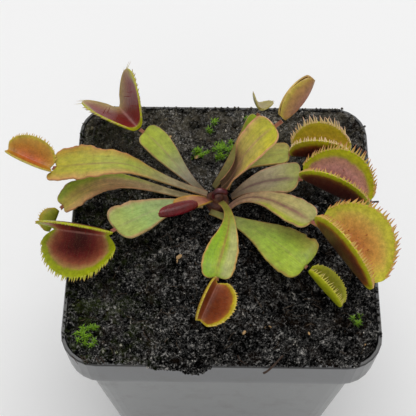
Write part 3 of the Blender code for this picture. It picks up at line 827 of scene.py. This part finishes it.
# Colours along the blade, margin and midrib (width, strength, colour), waviness of the margin, and
# washes (side, start, end, strength, colour)
BLADE_LOOKS = {
    "01": ([(0.0, 96, 78, 66), (0.3, 146, 140, 122), (0.6, 146, 156, 78), (0.92, 154, 164, 62)],
           PINK_EDGE, (0.16, 0.45, 142, 112, 96), 0.25, []),
    "02": ([(0.0, 120, 100, 84), (0.22, 146, 134, 104), (0.5, 150, 157, 72), (0.95, 164, 155, 62)],
           (0.1, 0.6, 176, 112, 88), (0.14, 0.6, 132, 104, 72), 1.0,
           [(-1, 0.35, 1.0, 0.6, 166, 116, 58), (1, 0.3, 0.95, 0.75, 190, 142, 100)]),
    # Leaf 03: its colours are painted lighter than its own, as painted light against the shade that leaf 02
    # casts on it.
    "03": ([(0.0, 160, 144, 112), (0.25, 200, 184, 142), (0.6, 214, 176, 134), (0.95, 180, 164, 80)],
           (0.1, 0.6, 180, 116, 98), (0.14, 0.3, 140, 104, 80), 1.0,
           [(-1, 0.05, 0.8, 0.85, 150, 176, 60), (1, 0.2, 0.9, 0.6, 196, 146, 112)]),
    "04": ([(0.0, 140, 130, 100), (0.3, 146, 158, 112), (0.65, 144, 168, 100), (0.92, 152, 162, 88)],
           (0.22, 0.85, 166, 128, 98), (0.14, 0.3, 150, 130, 112), 0.5,
           [(-1, 0.55, 1.0, 0.5, 164, 138, 104)]),
    "05": ([(0.0, 84, 38, 38), (0.3, 140, 82, 72), (0.6, 172, 124, 92), (0.95, 170, 122, 60)],
           (0.3, 0.8, 178, 136, 60), (0.3, 0.5, 150, 88, 80), 0.25, []),
    "06": ([(0.0, 110, 104, 50), (0.25, 134, 132, 58), (0.6, 140, 158, 46), (0.92, 134, 156, 40)],
           (0.12, 0.8, 190, 140, 90), (0.2, 0.75, 146, 112, 66), 0.5,
           [(1, 0.05, 0.5, 0.8, 166, 164, 112), (-1, 0.1, 0.6, 0.7, 122, 158, 18)]),
    "07": ([(0.0, 108, 98, 60), (0.25, 136, 144, 80), (0.6, 148, 172, 74), (0.92, 150, 170, 62)],
           (0.1, 0.6, 160, 116, 76), (0.1, 0.4, 140, 136, 84), 0.9,
           [(1, 0.2, 1.0, 0.6, 158, 140, 84), (-1, 0.5, 1.0, 0.45, 150, 146, 78)]),
    "08": ([(0.0, 160, 120, 108), (0.25, 190, 156, 128), (0.55, 170, 154, 104), (0.92, 160, 156, 100)],
           (0.07, 0.7, 180, 124, 110), (0.36, 0.9, 126, 86, 80), 0.4,
           [(-1, 0.4, 0.8, 0.8, 156, 164, 40)]),
    "09": ([(0.0, 126, 106, 92), (0.3, 154, 136, 116), (0.6, 162, 150, 122), (0.92, 156, 160, 92)],
           (0.1, 0.8, 180, 132, 108), (0.33, 0.9, 112, 84, 82), 0.4,
           [(-1, 0.3, 0.9, 0.35, 160, 150, 90)]),
    "10": ([(0.0, 84, 76, 44), (0.3, 112, 110, 54), (0.6, 140, 138, 70), (0.92, 150, 152, 76)],
           (0.12, 0.8, 176, 134, 84), (0.2, 0.35, 120, 100, 66), 0.3,
           [(1, 0.2, 0.8, 0.45, 168, 142, 88)]),
    # Leaf 11: the dark brown of its first two stops is painted shade on the lower third of the blade, where
    # it rises from the crown.
    "11": ([(0.0, 56, 32, 30), (0.34, 78, 44, 40), (0.43, 146, 112, 82), (0.55, 178, 158, 92),
            (0.9, 176, 172, 62)],
           (0.12, 0.9, 208, 148, 120), (0.16, 0.5, 176, 130, 112), 0.3,
           [(-1, 0.3, 1.0, 0.45, 196, 180, 60), (1, 0.6, 1.0, 0.5, 204, 156, 120)]),
    "12": ([(0.0, 100, 92, 62), (0.4, 116, 108, 64), (0.75, 120, 132, 44), (0.9, 140, 158, 40)],
           (0.15, 0.8, 150, 110, 80), (0.2, 0.3, 110, 90, 60), 0.25, []),
}


def build_blade(number):
    grid, shares, columns = blade_grid(number, BLADE_LOOKS[number][3])
    across = np.tile(columns, (len(shares), 1))
    thickness = BLADE_MARGIN + (BLADE_MIDRIB - BLADE_MARGIN) * (1 - np.abs(across)) ** 1.6
    points, faces, _ = sheet(grid, thickness)
    attributes = {
        "along": np.tile(np.repeat(shares, len(columns)), 2),
        "across": np.tile(across.ravel(), 2),
        "inner": np.repeat([1.0, 0.0], across.size),
    }
    slot = "leaf_bronze" if number in ("05", "11") else "leaf_green"
    make_piece(f"blade_{number}", points, faces, blade_material(number), attributes,
               replaces=f"leaf_{number}", slot=slot)


# Traps


def lobe_profile(gape, cup, height, steps):
    """(side, up) of a lobe's section from the hinge to the margin: a rounded keel, then a cupped wall."""
    start = gape / 2 + cup / 2
    side, up = [0.0], [0.0]
    fine = 4
    for k in range(steps * fine):
        share = (k + 0.5) / (steps * fine)
        angle = gape / 2 + cup * (0.5 - share) + (90 - start) * math.exp(-share * height / KEEL)
        step = height / (steps * fine)
        side.append(side[-1] + step * math.sin(math.radians(angle)))
        up.append(up[-1] + step * math.cos(math.radians(angle)))
    return side[::fine], up[::fine]


def trap_grid(number):
    """The trap's middle surface in the frame of the rim, and each point's distance from the margin."""
    place, turn, length, height, gape, cup, fan, square, bow = TRAPS[number]
    first = math.radians(LOBE_START)
    arc = math.radians(bow)
    radius = length / arc
    columns = 2 * LOBE_STEPS + 1
    grid = np.zeros((LOBE_ROWS, columns, 3))
    rim = np.zeros((LOBE_ROWS, columns))
    for i in range(LOBE_ROWS):
        angle = first + (math.pi - 2 * first) * i / (LOBE_ROWS - 1)
        on_hinge = length * (1 - math.cos(angle) / math.cos(first)) / 2
        on_margin = length * (1 - (1 + fan) * math.cos(angle) / math.cos(first)) / 2
        tall = height * math.sin(angle) ** square
        sides, ups = lobe_profile(gape, cup, tall, LOBE_STEPS)
        for j in range(-LOBE_STEPS, LOBE_STEPS + 1):
            share = math.sin(math.pi / 2 * abs(j) / LOBE_STEPS)
            along = on_hinge + (on_margin - on_hinge) * share
            bend = along * arc / length - arc / 2
            side, up = sides[abs(j)], ups[abs(j)]
            x = (radius - up) * math.sin(bend) + radius * math.sin(arc / 2)
            z = radius * math.cos(arc / 2) - (radius - up) * math.cos(bend)
            grid[i, j + LOBE_STEPS] = (x, math.copysign(side, j), z)
            ends = min(i, LOBE_ROWS - 1 - i) / (LOBE_ROWS - 1) * length * 1.1
            rim[i, j + LOBE_STEPS] = min((1 - abs(j) / LOBE_STEPS) * tall, 0.8 + ends)
    heading, pitch, roll = (math.radians(a) for a in turn)
    turned = Matrix.Rotation(heading, 3, "Z") @ Matrix.Rotation(-pitch, 3, "Y")
    turned = turned @ Matrix.Rotation(roll, 3, "X")
    return grid @ np.array(turned).T + place, rim


def lobe_material(number):
    inner_run, outer_run, look = LOBE_LOOKS[number]
    dull = look.get("roughness", 0.42)
    g = Graph(f"lobe_{number}_skin", roughness=dull, specular=look.get("specular", 0.4))
    rim, inner, along, across = (g.attribute(name) for name in ("rim", "inner", "along", "across"))
    blotch = g.math("SUBTRACT", g.noise(320, 4, 0.65), 0.5)
    ribs = g.noise(1.0, 3, 0.55, g.plane(along, 34.0, across, 2.2))
    wander = g.add(g.times(blotch, 0.10), g.times(g.math("SUBTRACT", ribs, 0.5), 0.05))
    depth = g.add(rim, wander)
    inside, outside = (g.ramp(depth, stops(run, RIM_SCALE)) for run in (inner_run, outer_run))
    cells = g.node("TexVoronoi", {"Vector": g.places(), "Scale": 2300})["Distance"]
    glands = g.times(g.step(cells, 0.34, 0.16), g.step(rim, 1.8 / RIM_SCALE, 3.6 / RIM_SCALE))
    inside = g.wash(inside, paint(*look.get("gland", (96, 40, 38))), glands, look["glands"])
    colour = g.mix(inner, outside, inside)
    if "tip" in look:
        start, end, strength, *tint = look["tip"]
        colour = g.wash(colour, paint(*tint), g.step(along, start, end), strength)
    colour = g.wash(colour, paint(*look.get("rib", (190, 170, 110))), g.step(ribs, 0.45, 0.8), 0.07)
    hinge = g.step(g.math("ABSOLUTE", across), 0.05, 0.015)
    colour = g.wash(colour, paint(190, 140, 128), hinge, g.times(inner, 0.3))
    colour = g.wash(colour, paint(90, 50, 36), g.step(g.noise(1500, 2), 0.60, 0.72), 0.15)
    colour = g.mottle(colour, 700)
    if "proximal" in look:
        near = g.times(g.step(along, 0.62, 0.42), g.step(rim, 3.4 / RIM_SCALE, 1.8 / RIM_SCALE))
        colour = g.wash(colour, paint(*look["proximal"]), near, 0.85)
    normal = g.bump(ribs, 0.00018, 0.7)
    normal = g.bump(glands, 0.00010, 0.8, normal)
    normal = g.bump(g.noise(2600, 2), 0.00006, 0.5, normal)
    return g.finish(colour, normal, g.math("MULTIPLY_ADD", blotch, 0.3, dull))


MAROON_OUT = [(0.0, 172, 180, 50), (1.3, 150, 152, 40), (2.0, 108, 72, 40), (3.4, 76, 40, 36),
              (9.0, 64, 32, 32)]

# Colours by millimetres from the margin, inside and outside, and what else sets a trap apart
LOBE_LOOKS = {
    "01": ([(0.0, 168, 150, 92), (1.2, 150, 112, 84), (3.0, 128, 72, 62), (4.6, 120, 38, 38),
            (10.0, 106, 28, 34)],
           [(0.0, 166, 160, 50), (3.0, 160, 150, 46), (8.0, 150, 110, 56)],
           {"glands": 0.35, "tip": (0.55, 0.95, 0.7, 156, 140, 84), "proximal": (160, 162, 40),
            "specular": 0.15}),
    "02": ([(0.0, 172, 160, 70), (1.2, 168, 130, 62), (3.2, 160, 110, 50), (6.0, 172, 96, 54),
            (8.5, 172, 70, 50)],
           [(0.0, 180, 170, 80), (1.2, 172, 150, 44), (8.0, 168, 120, 60)],
           {"glands": 0.35, "gland": (126, 80, 40)}),
    "03": ([(0.0, 150, 146, 40), (4.0, 130, 120, 30)],
           [(0.0, 150, 130, 40), (1.5, 122, 126, 12), (4.5, 100, 104, 10)], {"glands": 0.1}),
    "04": ([(0.0, 150, 158, 22), (2.0, 140, 148, 26), (3.0, 162, 126, 82), (4.4, 140, 80, 62),
            (6.6, 104, 44, 42), (9.4, 70, 22, 28), (12.0, 54, 14, 22)],
           MAROON_OUT, {"glands": 0.22, "gland": (160, 100, 84), "specular": 0.2}),
    "05": ([(0.0, 110, 44, 40), (4.0, 84, 30, 34)],
           [(0.0, 120, 40, 46), (0.8, 92, 22, 32), (2.4, 80, 18, 26), (3.8, 104, 34, 40)],
           {"glands": 0.0, "rib": (150, 80, 80), "roughness": 0.26}),
    "06": ([(0.0, 186, 174, 76), (1.0, 180, 160, 60), (1.8, 146, 92, 54), (3.2, 122, 66, 46),
            (8.0, 104, 52, 32)],
           [(0.0, 180, 160, 60), (2.0, 160, 120, 56), (7.0, 120, 70, 50)], {"glands": 0.2}),
    "07": ([(0.0, 176, 176, 60), (1.4, 134, 134, 36), (4.0, 116, 112, 30), (6.0, 118, 90, 36)],
           [(0.0, 176, 180, 60), (1.6, 140, 146, 40), (6.0, 126, 126, 40)], {"glands": 0.1}),
    "08": ([(0.0, 186, 186, 78), (3.0, 192, 186, 88), (4.4, 198, 176, 96), (6.5, 196, 158, 92),
            (10.0, 186, 134, 84), (14.5, 156, 92, 66)],
           [(0.0, 172, 172, 36), (1.8, 156, 152, 28), (3.0, 126, 72, 36), (4.6, 76, 30, 30),
            (9.5, 56, 28, 28)],
           {"glands": 0.22, "gland": (150, 84, 50)}),
    "09": ([(0.0, 172, 178, 54), (2.4, 160, 160, 58), (3.5, 172, 130, 110), (6.0, 184, 138, 130),
            (11.0, 130, 80, 78)],
           MAROON_OUT, {"glands": 0.5, "gland": (110, 56, 56)}),
    "10": ([(0.0, 190, 182, 80), (1.4, 180, 166, 66), (6.0, 188, 164, 76), (9.0, 124, 90, 46)],
           [(0.0, 170, 164, 50), (1.6, 148, 136, 40), (2.6, 110, 62, 38), (4.2, 82, 38, 32),
            (9.0, 66, 30, 28)],
           {"glands": 0.1}),
    "11": ([(0.0, 190, 160, 100), (6.0, 150, 110, 60)],
           [(0.0, 184, 162, 92), (0.5, 158, 140, 62), (1.8, 152, 118, 70), (4.6, 150, 108, 84),
            (6.8, 150, 84, 72)],
           {"glands": 0.0, "tip": (0.7, 1.0, 0.35, 148, 106, 80), "roughness": 0.38}),
    "12": ([(0.0, 150, 140, 80), (4.0, 140, 128, 84)],
           [(0.0, 140, 132, 80), (4.0, 126, 128, 70)], {"glands": 0.1}),
}

# Colours of a tooth at its root and its tip
TOOTH_LOOKS = {
    "01": ((170, 160, 80), (150, 110, 90)), "02": ((190, 170, 90), (204, 150, 110)),
    "03": ((190, 170, 90), (206, 180, 110)), "04": ((170, 176, 60), (176, 140, 96)),
    "06": ((196, 184, 96), (206, 160, 110)), "07": ((190, 184, 80), (214, 190, 140)),
    "08": ((196, 170, 96), (176, 84, 72)), "09": ((190, 170, 96), (196, 116, 100)),
    "10": ((214, 196, 140), (240, 200, 184)), "12": ((160, 150, 90), (170, 140, 110)),
}


def tooth_material(number):
    root, tip = (paint(*colour) for colour in TOOTH_LOOKS[number])
    g = Graph(f"tooth_{number}_skin", roughness=0.4)
    colour = g.ramp(g.attribute("tip"), [(0.0, root), (0.45, root), (1.0, tip)])
    colour = g.wash(colour, tip, g.noise(900, 2), 0.3)
    return g.finish(colour, g.bump(g.noise(4000, 2), 0.00004, 0.4))


def build_teeth(number, grid, normal, rng):
    count, radius, right, left = TEETH[number]
    sparse, sparse_from, left_out, hair_length, hair_thinness = SPARSE_HAIRS
    pile = Pile("tip")
    arc = np.linspace(0, 1, LOBE_ROWS)
    shares = np.linspace(0, 1, 6)
    for column, step, (length, flare) in ((0, 1, right), (grid.shape[1] - 1, -1, left)):
        margin = grid[:, column]
        out = unit(margin - grid[:, column + 2 * step])
        run = np.concatenate([[0], np.cumsum(np.linalg.norm(np.diff(margin, axis=0), axis=1))])
        for k in range(count):
            at = np.interp((k + 0.5 + 0.25 * rng.normal()) / count * run[-1], run, arc)
            place, outward, inward = (
                np.array([np.interp(at, arc, values[:, axis]) for axis in range(3)])
                for values in (margin, out, normal[:, column])
            )
            tangent = unit(np.gradient(margin, axis=0))[int(at * (LOBE_ROWS - 1))]
            lean = 0.16 * rng.normal() + 0.35 * (at - 0.5)
            body = math.sin(math.pi * clamp(at)) ** 0.3
            long = length * rng.uniform(0.7, 1.12) * (0.55 + 0.45 * body)
            thin = 1.0
            if number == sparse and at > sparse_from:
                if rng.random() < left_out:
                    continue
                long, thin = hair_length, hair_thinness
            heading = unit(outward + lean * tangent + (0.12 * rng.normal() - flare) * inward)
            path = [place - 0.15 * outward + long * (s * heading + (0.08 * s * s) * inward) for s in shares]
            pile.add(*tube(path, radius * thin * TOOTH_TAPER, 5), tip=np.repeat(shares, 5))
    pile.piece(f"teeth_{number}", tooth_material(number))


def build_trigger_hairs(number, grid, normal):
    """Three bristles standing on the inner face of each lobe."""
    pile = Pile()
    for side in (-1, 1):
        for row, level in ((0.36, 0.40), (0.62, 0.44), (0.50, 0.58)):
            i = int(row * (LOBE_ROWS - 1))
            j = LOBE_STEPS + side * int(level * LOBE_STEPS)
            place, up = grid[i, j], normal[i, j]
            path = [place + up * 2.3 * s + (0.35 * s * s, 0, 0.15 * s) for s in np.linspace(0, 1, 5)]
            pile.add(*tube(path, [0.13, 0.11, 0.09, 0.07, 0.03], 5))
    g = Graph(f"trigger_{number}", roughness=0.5)
    look = g.finish(g.mix(g.noise(1200, 2), paint(96, 24, 24), paint(150, 56, 44)))
    pile.piece(f"trigger_hairs_{number}", look)


def build_trap(number, rng):
    grid, rim = trap_grid(number)
    rows, columns = rim.shape
    across = np.abs(np.linspace(-1, 1, columns))
    thickness = np.tile(LOBE_MARGIN + (LOBE_MIDRIB - LOBE_MARGIN) * (1 - across), (rows, 1))
    points, faces, normal = sheet(grid, thickness)
    attributes = {
        "rim": np.tile(rim.ravel() / RIM_SCALE, 2),
        "along": np.tile(np.repeat(np.linspace(0, 1, rows), columns), 2),
        "across": np.tile(np.tile(np.linspace(-1, 1, columns), rows), 2),
        "inner": np.repeat([1.0, 0.0], rows * columns),
    }
    make_piece(f"lobes_{number}", points, faces, lobe_material(number), attributes,
               replaces=f"trap_{number}", slot=TRAP_SLOTS.get(number, "trap_lime"))
    if number in TEETH:
        build_teeth(number, grid, normal, rng)
    if number in TRIGGERED:
        build_trigger_hairs(number, grid, normal)


# Crown and bud


def build_crown():
    g = Graph("rootstock_scales", roughness=0.6)
    colour = g.ramp(g.noise(500, 4), stops([(0.3, 46, 26, 24), (0.55, 92, 56, 44), (0.75, 128, 96, 62)]))
    look = g.finish(colour, g.bump(g.noise(1400, 3), 0.0003, 0.9))
    radii, heights = np.array(CROWN_PROFILE).T
    points, sides, rings = [], 40, 26
    for height in np.linspace(heights[0] - 0.6, heights[-1], rings):
        for k in range(sides):
            angle = 2 * math.pi * k / sides
            radius = np.interp(height, heights, radii)
            radius *= 1 + 0.06 * noise.noise(Vector((3 * math.cos(angle), 3 * math.sin(angle), height)))
            x, y = CROWN_AT
            points.append((x + radius * math.cos(angle), y + radius * math.sin(angle), height))
    make_piece("rootstock", points, ring_faces(rings, sides), look, replaces="crown", slot="crown")


def build_bud():
    g = Graph("bud_skin", roughness=0.3, specular=0.5)
    colour = g.ramp(g.noise(520, 3), stops([(0.3, 50, 20, 24), (0.55, 78, 32, 38), (0.75, 122, 72, 72)]))
    look = g.finish(colour, g.bump(g.noise(2200, 3), 0.0001, 0.6))
    middle = np.array(BUD_MIDDLE) * BUD_SCALE + BUD_AT
    knots, fine = np.linspace(0, 1, len(middle)), np.linspace(0, 1, 40)
    spread = np.array([np.interp(fine, knots, middle[:, axis]) for axis in range(3)]).T
    for _ in range(24):
        spread[1:-1] = (spread[:-2] + 2 * spread[1:-1] + spread[2:]) / 4
    radii = np.interp(fine, knots, BUD_RADII)
    radii[-5:] *= (0.97, 0.9, 0.78, 0.58, 0.25)
    points, faces = tube(spread, radii, 20)
    make_piece("bud", points, faces, look, replaces="young_leaf", slot="young_leaf")


# Stage


def build_camera():
    fall = math.cos(CAMERA_PITCH)
    ahead = Vector((-math.sin(CAMERA_YAW) * fall, math.cos(CAMERA_YAW) * fall, -math.sin(CAMERA_PITCH)))
    right = Vector((math.cos(CAMERA_YAW), math.sin(CAMERA_YAW), 0))
    up = right.cross(ahead)
    turned = Matrix.Rotation(-CAMERA_ROLL, 3, ahead)
    right, up = turned @ right, turned @ up
    camera = bpy.data.cameras.new("camera")
    camera.sensor_width = SENSOR
    camera.lens = LENS
    camera.clip_start, camera.clip_end = 0.01, 20
    obj = bpy.data.objects.new("camera", camera)
    axes = Matrix((right, up, -ahead)).transposed().to_4x4()
    obj.matrix_world = Matrix.Translation(to_frame(CAMERA_AT).tolist()) @ axes
    bpy.context.scene.collection.objects.link(obj)
    bpy.context.scene.camera = obj


def build_floor():
    g = Graph("pale_floor", roughness=0.9, specular=0.1)
    mesh = bpy.data.meshes.new("floor")
    corners = [(-FLOOR_HALF, -FLOOR_HALF, 0), (FLOOR_HALF, -FLOOR_HALF, 0), (FLOOR_HALF, FLOOR_HALF, 0),
               (-FLOOR_HALF, FLOOR_HALF, 0)]
    mesh.from_pydata(corners, [], [(0, 1, 2, 3)])
    mesh.materials.append(g.finish(g.mix(g.noise(4, 2), plain(246, 246, 246), plain(250, 250, 250))))
    floor = bpy.data.objects.new("floor", mesh)
    bpy.context.scene.collection.objects.link(floor)


def add_lamp(name, place, side, power):
    """A square softbox that faces the plant."""
    lamp = bpy.data.lights.new(name, "AREA")
    lamp.shape = "RECTANGLE"
    lamp.size = lamp.size_y = side
    lamp.energy = power
    obj = bpy.data.objects.new(name, lamp)
    obj.location = place
    obj.rotation_euler = (Vector(LIT_POINT) - Vector(place)).to_track_quat("-Z", "Y").to_euler()
    bpy.context.scene.collection.objects.link(obj)


def build_light():
    world = bpy.data.worlds.new("studio")
    bpy.context.scene.world = world
    world.use_nodes = True
    back = world.node_tree.nodes["Background"]
    back.inputs["Color"].default_value = (1.0, 1.0, 1.0, 1)
    back.inputs["Strength"].default_value = SKY
    for name, place, side, power in SOFTBOXES:
        add_lamp(name, place, side, power)
    bpy.context.scene.view_settings.view_transform = "Standard"


def main():
    rng = np.random.default_rng(7)
    build_camera()
    build_floor()
    build_light()
    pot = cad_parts["pot"]
    pot.data.materials.clear()
    pot.data.materials.append(pot_material())
    peat = soil_material()
    build_soil(peat)
    scatter_crumbs(peat, rng)
    scatter_strands(peat, rng)
    spill_peat(peat, rng)
    scatter_fibres(fibre_material(), rng)
    build_litter(rng)
    build_moss(moss_material(), rng)
    build_crown()
    build_bud()
    for number in STALKS:
        build_blade(number)
    for number in TRAPS:
        build_trap(number, rng)


main()
